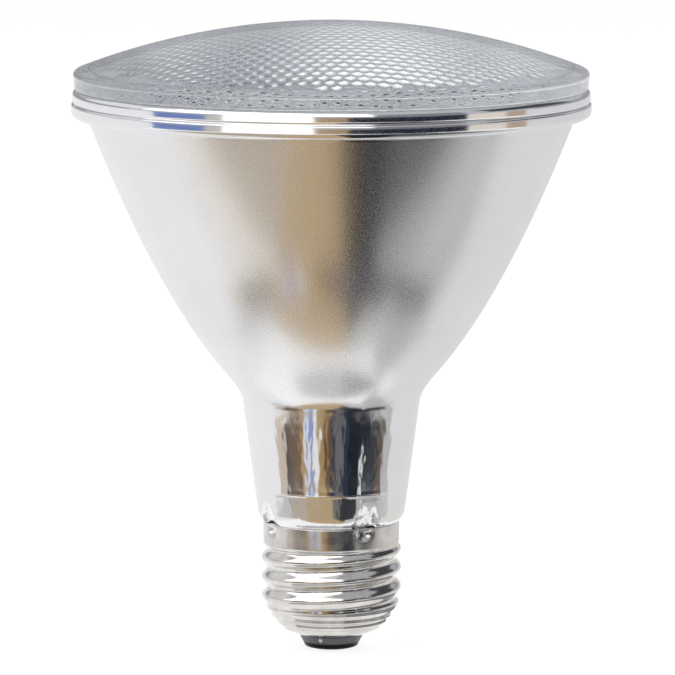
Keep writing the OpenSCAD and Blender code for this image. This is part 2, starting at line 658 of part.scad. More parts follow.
// Lead wires in the base
side_lead_z = thread_phase_z - thread_pitch;
side_lead_end = root_r - sheet_t - fit_gap;
lead_start_z = pin_low_z - pin_d / 2;
module side_lead() {
    color("peru") flat_wire(concat(
        [[-pin_x, 0, pin_low_z]],
        in_plane(bend([-pin_x, lead_start_z], [-pin_x, side_lead_z], [pin_x - side_lead_end, side_lead_z], 10)),
        [[-side_lead_end, 0, side_lead_z]]
    ), pin_d);
}
fuse_lift = 2.8;
sleeve_over = 1;
fuse_low_z = insulator_top_z + fuse_lift;
fuse_high_z = fuse_low_z + fuse_l;
sleeve_top_z = fuse_high_z + sleeve_over;
module centre_lead_upper() {
    color("peru") flat_wire(concat(
        [[pin_x, 0, pin_low_z]],
        sway(pin_x, lead_start_z, 0, sleeve_top_z + sleeve_wall),
        [[0, 0, fuse_high_z]]
    ), pin_d);
}
module fuse_wire() {
    color("silver") translate([0, 0, fuse_low_z]) cylinder(d = fuse_d, h = fuse_l);
}
module centre_lead_lower() {
    color("peru") translate([0, 0, lead_foot_z]) cylinder(r = pin_r, h = fuse_low_z - lead_foot_z);
}
module fuse_sleeve() {
    color("ivory") translate([0, 0, insulator_top_z]) difference() {
        cylinder(r = pin_r + fit_gap + sleeve_wall, h = sleeve_top_z - insulator_top_z);
        translate([0, 0, -1]) cylinder(r = pin_r + fit_gap, h = sleeve_top_z - insulator_top_z + 2);
    }
}

lens();
lens_bond();
reflector();
screw_shell();
base_insulator();
solder_bead();
contact_eyelet();
contact_solder();
capsule();
filament();
filament_lead_low();
filament_lead_high();
foil(-1);  // foil_left
foil(1);  // foil_right
pin(-1);  // pin_left
pin(1);  // pin_right
capsule_clip();
ferrule(-1);  // ferrule_left
ferrule(1);  // ferrule_right
side_lead();
centre_lead_upper();
fuse_wire();
centre_lead_lower();
fuse_sleeve();
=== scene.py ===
# %% [markdown]
# # A spotlight bulb with a mirrored glass bowl
# This lamp is four things that the eye meets from top to bottom: a clear pressed lens with rows of
# small lenslets, a glass bowl with a silver mirror coat that looks satin, the same glass drawn into a
# glossy neck, and a nickel screw shell with a black glass foot. Everything else sits inside.
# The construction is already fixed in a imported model. Blender adds the looks: finer shapes for the
# pieces that show, and a material for each of them.

import math

import bmesh
import bpy
from mathutils import Matrix, Vector, noise


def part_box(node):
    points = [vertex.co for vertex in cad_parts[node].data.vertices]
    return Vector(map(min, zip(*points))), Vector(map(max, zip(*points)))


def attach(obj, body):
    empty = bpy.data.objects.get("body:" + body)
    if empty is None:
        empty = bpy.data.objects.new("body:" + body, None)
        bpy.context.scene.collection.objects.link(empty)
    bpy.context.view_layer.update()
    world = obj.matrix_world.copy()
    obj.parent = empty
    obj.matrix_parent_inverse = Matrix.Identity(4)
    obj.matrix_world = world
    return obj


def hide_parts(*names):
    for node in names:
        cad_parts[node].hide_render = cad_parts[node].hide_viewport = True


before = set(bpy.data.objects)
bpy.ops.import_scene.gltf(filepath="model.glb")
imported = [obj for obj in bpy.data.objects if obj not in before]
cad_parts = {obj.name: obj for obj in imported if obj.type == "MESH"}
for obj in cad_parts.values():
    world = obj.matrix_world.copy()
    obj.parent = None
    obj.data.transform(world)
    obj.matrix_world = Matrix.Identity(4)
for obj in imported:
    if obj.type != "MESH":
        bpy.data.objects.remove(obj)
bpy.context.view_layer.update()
print("nodes in the frame:", len(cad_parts))

# %% [markdown]
# ## Sizes
# Blender works in metres here, and a lamp is easier to think of in millimetres, so every size is
# written in millimetres and multiplied once. Where the frame can be measured, the size is read from
# it, so that a change of the construction moves the looks with it.

# %% Sizes that the frame gives
MM = 0.001


def reach(node):
    """Largest radius, lowest and highest point of a node, in millimetres."""
    low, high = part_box(node)
    return high.x / MM, low.z / MM, high.z / MM


flange_r, floor_low_z, seam_z = reach("reflector")
lens_edge_r, _, apex_z = reach("lens")
crest_r, shell_lip_z, shell_top_z = reach("screw_shell")
contact_r, _, barrel_top_z = reach("contact_eyelet")
_, insulator_low_z, insulator_top_z = reach("base_insulator")
light_z = sum(reach("filament")[1:]) / 2
print(f"flange radius {flange_r:.2f}, seam at {seam_z:.1f}, shell from {shell_lip_z:.1f} to {shell_top_z:.1f}")

# %% [markdown]
# ## The camera
# The photograph was taken from a little above the lens with a long focal length, so the rings of the
# lamp look like narrow ellipses. The place and the focal length were worked out from the heights of
# the front and side edges of the same rings. A small sideways shift puts the lamp left of the middle.

# %% The camera
CAMERA_DISTANCE = 1000.0
CAMERA_HEIGHT = 192.79
CAMERA_PITCH = 7.643
FOCAL_IN_PIXELS = 5405.2
PICTURE = 675
AXIS_X = 331.3

camera = bpy.data.objects.new("camera", bpy.data.cameras.new("camera"))
bpy.context.scene.collection.objects.link(camera)
bpy.context.scene.camera = camera
camera.data.sensor_width = 36.0
camera.data.lens = camera.data.sensor_width * FOCAL_IN_PIXELS / PICTURE
camera.data.shift_x = (PICTURE / 2 - AXIS_X) / PICTURE
camera.location = (0, -CAMERA_DISTANCE * MM, CAMERA_HEIGHT * MM)
camera.rotation_euler = (math.radians(90 - CAMERA_PITCH), 0, 0)
print(f"lens of {camera.data.lens:.0f} mm, shift {camera.data.shift_x:.4f}")

# %% [markdown]
# ## Helpers for materials
# A colour is written as the hex code that a picture program shows. Cycles calculates with linear
# light, so one function turns the code to linear. One more function adds a node with its settings,
# its values and its links, which keeps each material short.

# %% Colour and node helpers
def linear(code):
    """A hex colour such as #c8b090 as the linear colour that a shader socket takes."""
    parts = [int(code[i:i + 2], 16) / 255 for i in (1, 3, 5)]
    return tuple(p / 12.92 if p <= 0.04045 else ((p + 0.055) / 1.055) ** 2.4 for p in parts) + (1.0,)


def add(tree, kind, values=None, links=None, **settings):
    """Adds a node of that kind, with settings, input values and links from other nodes' outputs."""
    node = tree.nodes.new(kind)
    for name, value in settings.items():
        setattr(node, name, value)
    for socket, value in (values or {}).items():
        node.inputs[socket].default_value = value
    for socket, source in (links or {}).items():
        tree.links.new(source, node.inputs[socket])
    return node


def new_material(name, **values):
    """A material with one Principled shader, whose sockets take the given values."""
    material = bpy.data.materials.new(name)
    material.use_nodes = True
    shader = material.node_tree.nodes["Principled BSDF"]
    for socket, value in values.items():
        shader.inputs[socket.replace("_", " ")].default_value = value
    return material, material.node_tree, shader


def grain(tree, size_mm, detail=2.0, stretch=(1, 1, 1)):
    """Noise on Object coordinates whose blobs are about size_mm across."""
    place = add(tree, "ShaderNodeTexCoord").outputs["Object"]
    if stretch != (1, 1, 1):
        place = add(tree, "ShaderNodeMapping", {"Scale": stretch}, {"Vector": place}).outputs["Vector"]
    return add(tree, "ShaderNodeTexNoise", {"Scale": 1 / (size_mm * MM), "Detail": detail}, {"Vector": place})


def spread(tree, source, low, high, to_low, to_high, **settings):
    """Maps a value from one range to another and holds it there."""
    values = {"From Min": low, "From Max": high, "To Min": to_low, "To Max": to_high}
    return add(tree, "ShaderNodeMapRange", values, {"Value": source}, **settings).outputs["Result"]


def tint(tree, factor, first, second):
    """Mixes two hex colours by a factor."""
    node = add(tree, "ShaderNodeMix", {6: linear(first), 7: linear(second)}, {0: factor}, data_type="RGBA")
    return node.outputs[2]


def bump(tree, shader, height, depth_mm, strength=1.0):
    """Gives the shader a bump of that depth."""
    node = add(tree, "ShaderNodeBump", {"Distance": depth_mm * MM, "Strength": strength}, {"Height": height})
    tree.links.new(node.outputs["Normal"], shader.inputs["Normal"])
    return node

# %% [markdown]
# ## Floor, backdrop and light
# The photograph has a plain white ground. A white floor that is only lit would need so much light
# that the lamp clips, so its material shows a white of its own to the camera and to rays that the
# metal and the glass send out, and keeps a share of lit colour, in which the lamp's shadow shows.

# %% The floor and the world
def seen_rays(tree):
    """1 for camera, glossy and transmission rays, and 0 for the rays that only carry light."""
    path = add(tree, "ShaderNodeLightPath")
    both = add(tree, "ShaderNodeMath", {}, {0: path.outputs["Is Camera Ray"], 1: path.outputs["Is Glossy Ray"]},
               operation="MAXIMUM")
    return add(tree, "ShaderNodeMath", {}, {0: both.outputs[0], 1: path.outputs["Is Transmission Ray"]},
               operation="MAXIMUM").outputs[0]


FLOOR_WHITE = 0.88
FLOOR_LIT = 0.2
floor_material = bpy.data.materials.new("white_paper_floor")
floor_material.use_nodes = True
tree = floor_material.node_tree
tree.nodes.clear()
plain = add(tree, "ShaderNodeBsdfDiffuse", {"Color": linear("#e6e6e6")})
lit = add(tree, "ShaderNodeBsdfDiffuse", {"Color": (FLOOR_LIT, FLOOR_LIT, FLOOR_LIT, 1)})
glow = add(tree, "ShaderNodeEmission", {"Strength": FLOOR_WHITE})
seen = add(tree, "ShaderNodeAddShader", {}, {0: lit.outputs[0], 1: glow.outputs[0]})
both = add(tree, "ShaderNodeMixShader", {}, {0: seen_rays(tree), 1: plain.outputs[0], 2: seen.outputs[0]})
add(tree, "ShaderNodeOutputMaterial", {}, {"Surface": both.outputs[0]})
floor_material.cycles.emission_sampling = "NONE"

FLOOR_HALF = 3.0
bm = bmesh.new()
bmesh.ops.create_grid(bm, x_segments=1, y_segments=1, size=FLOOR_HALF)
floor = bpy.data.objects.new("floor", bpy.data.meshes.new("floor"))
bm.to_mesh(floor.data)
bm.free()
floor.data.materials.append(floor_material)
bpy.context.scene.collection.objects.link(floor)

world = bpy.data.worlds.new("studio")
bpy.context.scene.world = world
world.use_nodes = True
tree = world.node_tree
tree.nodes.clear()
shade = add(tree, "ShaderNodeBackground", {"Color": linear("#ffffff"), "Strength": 0.55})
room = add(tree, "ShaderNodeBackground", {"Color": linear("#bcbec3"), "Strength": 1.0})
both = add(tree, "ShaderNodeMixShader", {}, {0: seen_rays(tree), 1: shade.outputs[0], 2: room.outputs[0]})
add(tree, "ShaderNodeOutputWorld", {}, {"Surface": both.outputs[0]})

# %% [markdown]
# A mirror shows what stands round it. The real bowl was photographed over a brown table, with
# something dark at the right and a window at the left, and those make its bands. Thin cards do the
# same here, as in a product studio: the camera and the diffuse light don't see them, only the
# reflections do. A card that lies flat shows in the bowl, which looks down, and one that stands shows
# in the neck, the flange and the shell.

# %% Studio cards
def card(name, corners_mm, colour, strength=1.0):
    """A flat card with its four corners in millimetres, that only reflections see."""
    bm = bmesh.new()
    bm.faces.new([bm.verts.new(Vector(c) * MM) for c in corners_mm])
    mesh = bpy.data.meshes.new(name)
    bm.to_mesh(mesh)
    bm.free()
    material = bpy.data.materials.new(name)
    material.use_nodes = True
    tree = material.node_tree
    tree.nodes.clear()
    glow = add(tree, "ShaderNodeEmission", {"Color": linear(colour), "Strength": strength})
    add(tree, "ShaderNodeOutputMaterial", {}, {"Surface": glow.outputs[0]})
    material.cycles.emission_sampling = "NONE"
    mesh.materials.append(material)
    piece = bpy.data.objects.new(name, mesh)
    bpy.context.scene.collection.objects.link(piece)
    piece.visible_camera = piece.visible_diffuse = piece.visible_shadow = False
    return piece


def standing_card(name, azimuths, distance, heights, colour, strength=1.0):
    """A standing card between two azimuths in degrees, where 0 is towards the camera and 90 to its right."""
    ends = [(distance * math.sin(math.radians(a)), -distance * math.cos(math.radians(a))) for a in azimuths]
    corners = [(*ends[0], heights[0]), (*ends[1], heights[0]), (*ends[1], heights[1]), (*ends[0], heights[1])]
    return card(name, corners, colour, strength)


def floor_card(name, x_range, y_range, colour, lift=0.5):
    """A card that lies just above the floor."""
    (x0, x1), (y0, y1) = x_range, y_range
    return card(name, [(x0, y0, lift), (x1, y0, lift), (x1, y1, lift), (x0, y1, lift)], colour)


FAR = -420
floor_strips = [
    ("card_left_far", (-300, -46), (FAR, -75), "#b8ae9f"),
    ("card_left_mid", (-300, -46), (-75, -50), "#f4ede4"),
    ("card_left_near", (-300, -46), (-50, -27), "#f2f0ee"),
    ("card_table", (-46, 13), (FAR, -39), "#bfa682"),
    ("card_right_far", (13, 300), (FAR, -84), "#5c5c5e"),
    ("card_right_mid", (13, 300), (-84, -60), "#b2b2b2"),
    ("card_right_near", (13, 300), (-60, -36), "#cccccb"),
    ("card_right_edge", (30, 300), (-36, -10), "#bcbcbc"),
    ("card_right_side", (40, 900), (-10, 700), "#e3e3e5"),
    ("card_left_side", (-900, -46), (-27, 700), "#f4f4f6"),
]
for count, (name, x_range, y_range, colour) in enumerate(floor_strips):
    floor_card(name, x_range, y_range, colour, 0.3 + 0.02 * count)
card("card_dark", [(12, -46, 0.6), (30, -58, 0.6), (150, -300, 0.6), (12, FAR, 0.6)], "#24262c")
SHADE_R = (17, 30)
for azimuth in range(-60, 140, 20):
    ends = [(r * math.sin(math.radians(a)), -r * math.cos(math.radians(a)), 0.7)
            for r, a in [(SHADE_R[0], azimuth), (SHADE_R[1], azimuth), (SHADE_R[1], azimuth + 20), (SHADE_R[0], azimuth + 20)]]
    card(f"card_shade_{azimuth}", ends, "#909094" if azimuth > 10 else "#bcbcbe")
standing_card("card_window", (-46, -8), 640, (0, 700), "#ffffff", 1.6)
horizon_cards = [
    ("card_pale_left", (-179, -83), "#f2f2f3"), ("card_blue", (-82, -55), "#7186bd"), ("card_mist", (-55, -47), "#c9c4be"),
    ("card_amber", (-7, 7), "#a8906e"), ("card_navy", (7, 60), "#1b2030"), ("card_cream", (61, 80), "#e6ddd2"),
    ("card_rust", (80, 92), "#b5a08c"), ("card_pale_right", (92, 179), "#dcdcde"),
]
for name, azimuths, colour in horizon_cards:
    standing_card(name, azimuths, 620, (0.2, 90), colour)

# %% [markdown]
# The neck's mirror looks down by some 24 degrees and the shell's by some 9, so both show what stands
# on the table a hand's breadth away. A low fence of narrow cards stands there, well outside the lamp's
# own width. Its lower part shows in the thread and its upper part as the streaks of the neck.

# %% A low fence of narrow cards on the table
FENCE_R = 64
fence = {
    (0.2, 10): [(-125, -85, "#f0f0ee"), (-85, -60, "#c8c8c8"), (-60, -35, "#bab0a4"), (-35, 3, "#b8a482"),
                (3, 10, "#707070"), (10, 36, "#34363c"), (36, 65, "#b0b0b0"), (65, 90, "#c8c8c8"),
                (90, 140, "#e8e4de")],
    (10, 26): [(-73, -61, "#cdbeb0"), (-61, -55, "#565250"), (-55, -39, "#746354"), (-39, -33, "#b39368"),
               (-33, -28, "#dfe4f0"), (-28, -22, "#8797cf"), (-22, -16, "#f6f4ef"), (-16, -7, "#a5895f"),
               (-7, 0, "#66503f"), (0, 5, "#343c50"), (5, 15, "#6e6e70"), (15, 22, "#30374a"),
               (22, 46, "#1e222b"), (46, 61, "#3c3f45"), (61, 70, "#66594d")],
}
for heights, posts in fence.items():
    for start, end, colour in posts:
        standing_card(f"card_post_{heights[1]}_{start}", (start, end), FENCE_R, heights, colour)
standing_card("card_streak", (38, 40.5), FENCE_R - 5, (9.5, 21), "#ffffff")
standing_card("card_sky", (-90, 18), 900, (210, 1100), "#ffffff", 1.9)
standing_card("card_wall_right", (18, 60), 700, (91, 480), "#85878c")
standing_card("card_dusk", (72, 130), 800, (211, 700), "#4c4e53")
standing_card("card_dawn", (-140, -92), 800, (211, 700), "#e8e8ea")
for azimuth in range(100, 260, 40):
    standing_card(f"card_back_{azimuth}", (azimuth, azimuth + 40), 1500, (2, 420), "#9fa1a7")
card("card_ceiling", [(-600, 150, 1500), (600, 150, 1500), (600, 1500, 1500), (-600, 1500, 1500)], "#4c4e53")

# %% [markdown]
# The lamps are two soft boxes, one high at the left and one high behind at the right. Their level is
# low, so that a colour renders about as it is written. Reflections don't see them, because the cards
# already say what the mirror and the lenslets show.

# %% Soft boxes
def soft_box(name, place_mm, size_mm, power):
    """A square area light that points at the middle of the lamp."""
    light = bpy.data.lights.new(name, "AREA")
    light.shape = "SQUARE"
    light.size = size_mm * MM
    light.energy = power
    lamp = bpy.data.objects.new(name, light)
    lamp.location = Vector(place_mm) * MM
    lamp.rotation_euler = (Vector((0, 0, 60 * MM)) - lamp.location).to_track_quat("-Z", "Y").to_euler()
    lamp.visible_glossy = lamp.visible_transmission = False
    bpy.context.scene.collection.objects.link(lamp)
    return lamp


soft_box("soft_box_left", (-700, -500, 900), 600, 4.0)
soft_box("soft_box_back", (500, 700, 900), 500, 3.0)

bpy.context.scene.view_settings.view_transform = "Standard"
cycles = bpy.context.scene.cycles
cycles.max_bounces = 24
cycles.glossy_bounces = 16
cycles.transmission_bounces = 16

# %% [markdown]
# ## Helpers for round pieces
# A turned, blown or pressed piece is an outline that is spun round the axis. The outline has only the
# points that its shape needs: straight stretches, arcs and simple bends. The spin operator makes the
# wall, doubled points at the poles are merged, and the normals are recalculated, because a spin can
# turn a shape inside out.

# %% Outlines
def arc(centre_r, centre_z, radius, start, end, steps):
    """Points on an arc, as (radius, height)."""
    angles = [math.radians(start + (end - start) * i / steps) for i in range(steps + 1)]
    return [(centre_r + radius * math.cos(a), centre_z + radius * math.sin(a)) for a in angles]


def bend(first, pull, last, steps):
    """Points of a bend that leaves first towards pull and arrives at last from it."""
    points = []
    for i in range(steps + 1):
        t = i / steps
        points.append(tuple((1 - t) ** 2 * a + 2 * t * (1 - t) * b + t * t * c
                            for a, b, c in zip(first, pull, last)))
    return points


def steps_up(function, start, end, steps):
    """Points of a curve that gives a radius for each height."""
    heights = [start + (end - start) * i / steps for i in range(steps + 1)]
    return [(function(z), z) for z in heights]


def smooth(t):
    """0 below 0, 1 above 1, and a soft step between."""
    t = min(1.0, max(0.0, t))
    return t * t * (3 - 2 * t)

# %% Spin an outline, and turn a bmesh into a piece
def spun(outline_mm, columns):
    """A bmesh of the outline spun once round the axis."""
    bm = bmesh.new()
    points = [bm.verts.new((r * MM, 0, z * MM)) for r, z in outline_mm]
    edges = [bm.edges.new(pair) for pair in zip(points, points[1:])]
    bmesh.ops.spin(bm, geom=points + edges, cent=(0, 0, 0), axis=(0, 0, 1), dvec=(0, 0, 0),
                   angle=2 * math.pi, steps=columns, use_merge=True, use_duplicate=False)
    bmesh.ops.remove_doubles(bm, verts=bm.verts, dist=1e-7)
    return bm


def finish_piece(name, bm, materials, replaced, sharp=35.0):
    """Makes the object, shades it smooth apart from sharp corners, and lets it ride on the lamp."""
    bmesh.ops.recalc_face_normals(bm, faces=bm.faces)
    mesh = bpy.data.meshes.new(name)
    bm.to_mesh(mesh)
    bm.free()
    for material in materials:
        mesh.materials.append(material)
    mesh.shade_smooth()
    mesh.set_sharp_from_angle(angle=math.radians(sharp))
    piece = bpy.data.objects.new(name, mesh)
    bpy.context.scene.collection.objects.link(piece)
    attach(piece, "root")
    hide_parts(replaced)
    mesh.calc_loop_triangles()
    print(f"{name}: {len(mesh.loop_triangles)} triangles")
    return piece

# %% [markdown]
# ## Mirrored glass
# The bowl, flange and neck are one pressing of clear glass whose inside carries an evaporated
# aluminium coat. Seen from outside, the coat gives the colour and the glass in front of it a gloss.
# On the bowl the glass is frosted, which spreads reflections over some twenty degrees and shows a
# fine grain. The neck and the flange are left clear and reflect sharply, with the slow waves of
# pressed glass.

# %% Material of the mirrored glass
BOWL_GRAIN = 0.3
NECK_WAVE = 1.4


def mirrored_glass():
    material, tree, shader = new_material("aluminised_glass", Metallic=1.0, Coat_Weight=0.25, Coat_Roughness=0.03)
    place = add(tree, "ShaderNodeTexCoord").outputs["Object"]
    height = add(tree, "ShaderNodeSeparateXYZ", {}, {"Vector": place}).outputs["Z"]
    above_neck = spread(tree, height, 45.5 * MM, 51.5 * MM, 0, 1, interpolation_type="SMOOTHSTEP")
    below_flange = spread(tree, height, 99.4 * MM, 99.9 * MM, 1, 0)
    frosted = add(tree, "ShaderNodeMath", {}, {0: above_neck, 1: below_flange}, operation="MULTIPLY").outputs[0]
    fine = grain(tree, BOWL_GRAIN, 3.0).outputs["Fac"]
    cloudy = grain(tree, 14.0, 2.0).outputs["Fac"]
    tree.links.new(tint(tree, spread(tree, cloudy, 0.3, 0.7, 0, 1), "#ebebec", "#f1f1f2"), shader.inputs["Base Color"])
    clear = spread(tree, height, 70 * MM, 71 * MM, 0.12, 0.11)
    rough = add(tree, "ShaderNodeMix", {3: 0.27}, {0: frosted, 2: clear}).outputs[0]
    speckle = spread(tree, fine, 0.3, 0.7, -0.03, 0.03)
    uneven = add(tree, "ShaderNodeMath", {}, {0: rough, 1: speckle}, operation="ADD").outputs[0]
    tree.links.new(uneven, shader.inputs["Roughness"])
    waves = grain(tree, NECK_WAVE, 1.0, stretch=(1, 1, 0.35)).outputs["Fac"]
    in_neck = spread(tree, height, 44 * MM, 49 * MM, 1, 0.03)
    wavy = add(tree, "ShaderNodeBump", {"Distance": 0.09 * MM}, {"Height": waves, "Strength": in_neck})
    sanded = add(tree, "ShaderNodeBump", {"Distance": 0.012 * MM},
                 {"Height": fine, "Strength": frosted, "Normal": wavy.outputs["Normal"]})
    tree.links.new(sanded.outputs["Normal"], shader.inputs["Normal"])
    return material


def mirror_coat():
    """The evaporated aluminium as it shows from inside: bright, with a slight haze."""
    material, tree, shader = new_material("aluminium_coat", Metallic=1.0, Roughness=0.1)
    haze = spread(tree, grain(tree, 6.0).outputs["Fac"], 0.3, 0.7, 0.07, 0.14)
    tree.links.new(haze, shader.inputs["Roughness"])
    shader.inputs["Base Color"].default_value = linear("#eeeeee")
    return material


glass_outside = mirrored_glass()
glass_inside = mirror_coat()

# %% [markdown]
# ## The reflector
# The outline follows the construction: boss, shoulder, neck, rounded throat, paraboloid bowl and the
# stepped flange, then back down the mirror inside, which has its focus at the filament.

# %% Outline of the reflector
neck_foot_z = shell_top_z + 2.3
neck_foot_r = crest_r - 0.35 + 1.12
NECK_TAPER = 0.132
mirror_edge_r = lens_edge_r - 2.83
mirror_rise = seam_z - light_z
mirror_f = (math.hypot(mirror_rise, mirror_edge_r) - mirror_rise) / 2
mirror_vertex_z = light_z - mirror_f
lip_r = flange_r - 0.2
lip_low_z = seam_z - 2.4
ridge_top_z = lip_low_z - 0.2
ridge_low_z = ridge_top_z - 1.4
bowl_top_z = ridge_top_z - 2.9
bowl_top_r = flange_r - 3.08
bowl_vertex_z = mirror_vertex_z - 1.6
bowl_f = bowl_top_r ** 2 / (4 * (bowl_top_z - bowl_vertex_z))
THROAT_Z = 49.2
NECK_WALL = 2.2


def neck_radius(z):
    return neck_foot_r + NECK_TAPER * (z - neck_foot_z)


def bowl_radius(z):
    return math.sqrt(4 * bowl_f * (z - bowl_vertex_z))


def mirror_radius(z):
    return math.sqrt(4 * mirror_f * (z - mirror_vertex_z))


def throat(side, wall, steps):
    """The rounded corner between neck and bowl."""
    low_z, high_z = THROAT_Z - 2.2, THROAT_Z + 3.2
    top = side(high_z)
    slope = 2 * (bowl_f if wall == 0 else mirror_f) / top
    turn_z = (top - slope * high_z - neck_radius(0) + wall) / (NECK_TAPER - slope)
    return bend((neck_radius(low_z) - wall, low_z), (neck_radius(turn_z) - wall, turn_z), (top, high_z), steps)


mould_z = neck_foot_z + 4.25
skirt_r = crest_r - 0.35
boss_low_r = crest_r - 0.95 - 0.45
boss_r = skirt_r - 0.45
well_r = boss_low_r - 1.5
floor_top_z = shell_top_z - 2.2

outside = (
    [(0, floor_low_z), (boss_low_r - 0.3, floor_low_z), (boss_low_r, floor_low_z + 0.3)]
    + [(boss_low_r, shell_top_z - 3.8), (boss_r, shell_top_z - 3.2), (boss_r, shell_top_z + 0.05)]
    + [(skirt_r, shell_top_z + 0.05)]
    + bend((skirt_r + 0.05, shell_top_z + 0.06), (neck_foot_r - 0.3, shell_top_z + 0.6), (neck_foot_r, neck_foot_z), 14)
    + steps_up(neck_radius, neck_foot_z + 0.4, mould_z - 0.3, 8)
    + [(neck_radius(mould_z - 0.15) + 0.03, mould_z - 0.15), (neck_radius(mould_z) + 0.06, mould_z)]
    + [(neck_radius(mould_z + 0.15) + 0.03, mould_z + 0.15)]
    + steps_up(neck_radius, mould_z + 0.3, THROAT_Z - 2.6, 22)
    + throat(bowl_radius, 0, 16)
    + steps_up(bowl_radius, THROAT_Z + 4.2, bowl_top_z, 60)
    + bend((bowl_top_r + 0.3, bowl_top_z + 0.1), (flange_r, bowl_top_z + 0.1), (flange_r, ridge_low_z), 14)
    + bend((flange_r, ridge_top_z - 0.3), (flange_r, ridge_top_z), (flange_r - 0.3, ridge_top_z), 5)
    + [(lip_r - 0.25, ridge_top_z + 0.1)]
    + bend((lip_r - 0.2, lip_low_z), (lip_r, lip_low_z), (lip_r, lip_low_z + 0.5), 5)
    + bend((lip_r, seam_z - 1.1), (lip_r, seam_z - 0.3), (lip_r - 0.7, seam_z), 8)
)
inside = (
    steps_up(mirror_radius, seam_z, THROAT_Z + 3.2, 50)
    + throat(mirror_radius, NECK_WALL, 10)[-2::-1]
    + bend((neck_radius(neck_foot_z + 4) - NECK_WALL, neck_foot_z + 4), (well_r, neck_foot_z + 2),
           (well_r, floor_top_z + 2), 6)
    + arc(well_r - 1, floor_top_z + 1, 1, 0, -90, 4)
    + [(0, floor_top_z)]
)
print(f"reflector outline: {len(outside)} points outside, {len(inside)} inside, mirror focus at {light_z:.1f} mm")

# %% [markdown]
# The top edge of the metal shell is staked into four slanted pockets in the glass shoulder. A pocket
# is a flat cut into a round shape, so each point that stands outside the slanted plane is pushed back
# onto it, with a soft mask for the pocket's sides.

# %% Spin the reflector and press in the pockets
STAKE_ANGLES = [-61 + 90 * k for k in range(4)]
stake_z = shell_top_z - 1.0
STAKE_DEPTH = 0.9
POCKET_HALF = 2.5
pocket_floor_r = skirt_r - 0.3 - STAKE_DEPTH - 0.15
pocket_top_z = shell_top_z + 5.0
pocket_slope = (neck_radius(pocket_top_z) - pocket_floor_r) / (pocket_top_z - stake_z)
REFLECTOR_COLUMNS = 256


def press_pockets(bm):
    moved = 0
    for vert in bm.verts:
        r, z = math.hypot(vert.co.x, vert.co.y) / MM, vert.co.z / MM
        if not shell_top_z - 3 < z < pocket_top_z or r < pocket_floor_r:
            continue
        angle = math.degrees(math.atan2(vert.co.y, vert.co.x))
        for stake in STAKE_ANGLES:
            off = math.radians((angle - stake + 180) % 360 - 180)
            across, out = r * math.sin(off), r * math.cos(off)
            if abs(off) > 0.5:
                continue
            share = smooth((pocket_top_z - z) / (pocket_top_z - shell_top_z))
            half = POCKET_HALF * (0.62 + 0.38 * share)
            mask = 1 - smooth((abs(across) - half + 0.35) / 0.7)
            plane = pocket_floor_r + pocket_slope * (z - stake_z)
            if out > plane and mask > 0:
                out += (plane - out) * mask
                turn = math.radians(stake)
                vert.co.x = (out * math.cos(turn) - across * math.sin(turn)) * MM
                vert.co.y = (out * math.sin(turn) + across * math.cos(turn)) * MM
                moved += 1
    return moved


bm = spun(outside + inside, REFLECTOR_COLUMNS)
print("points pressed into the pockets:", press_pockets(bm))
bmesh.ops.recalc_face_normals(bm, faces=bm.faces)
for face in bm.faces:
    centre = face.calc_center_median()
    if centre.z / MM > floor_top_z - 0.1 and math.hypot(centre.x, centre.y) / MM < mirror_edge_r + 0.1:
        outward = face.normal.x * centre.x + face.normal.y * centre.y
        if outward < 0 or centre.z / MM < floor_top_z + 0.1:
            face.material_index = 1
finish_piece("reflector_glass", bm, [glass_outside, glass_inside], "reflector")

# %% [markdown]
# ## Clear pressed glass
# The lens is soda-lime glass pressed in a mould: clear, with a faint cool grey where the glass is
# thick. It bends light with an index of about 1.5, and its polished outer face is smooth.

# %% Material of the lens
def clear_glass(name, colour, roughness):
    material, _, shader = new_material(name, Roughness=roughness, IOR=1.5, Transmission_Weight=1.0)
    shader.inputs["Base Color"].default_value = linear(colour)
    return material


lens_glass = clear_glass("pressed_clear_glass", "#f4f6f8", 0.0)

# %% [markdown]
# ## The lens
# The outer face is a smooth dome. The inner face carries some 1,200 lenslets in a hexagonal lattice,
# each a low cap that meets its six neighbours in sharp valleys. Modelling them one by one would be
# heavy. Instead one grid is sheared to equal triangles and turned by 30 degrees, so that its edges
# run along the valleys. It is trimmed to a circle and pushed down by the height of the cap that each
# point lies in.

# %% The lattice of lenslets
PITCH = 2.3
LENSLET_H = 0.34
DOME_R = 132.0
LENS_WALL = 4.4
EDGE_H = 2.6
SHOULDER_W = 1.2
FOOT_W = 4.0
dome_edge_r = lens_edge_r - SHOULDER_W
dome_centre_z = apex_z - DOME_R
foot_in_r = lens_edge_r - FOOT_W
field_r = foot_in_r - 0.6
CELL_PARTS = 4
row_step = PITCH * math.sqrt(3) / 2
cell_r = PITCH / math.sqrt(3)
grid_step = cell_r / CELL_PARTS


def dome_height(r, ball_r):
    return dome_centre_z + math.sqrt(ball_r ** 2 - r ** 2)


def nearest_lenslet(x, y):
    """Centre of the lattice cell that a point lies in."""
    best = None
    for j in (math.floor(y / row_step), math.floor(y / row_step) + 1):
        i = round((x - PITCH * j / 2) / PITCH)
        centre = (PITCH * (i + j / 2), row_step * j)
        away = math.hypot(x - centre[0], y - centre[1])
        if best is None or away < best[0]:
            best = (away, centre)
    return best


def lenslet_depth(x, y):
    """How far the cap stands below the plain inner dome at a point."""
    away, centre = nearest_lenslet(x, y)
    if math.hypot(*centre) + cell_r > field_r:
        return 0.0
    return LENSLET_H * (1 - (away / cell_r) ** 2)

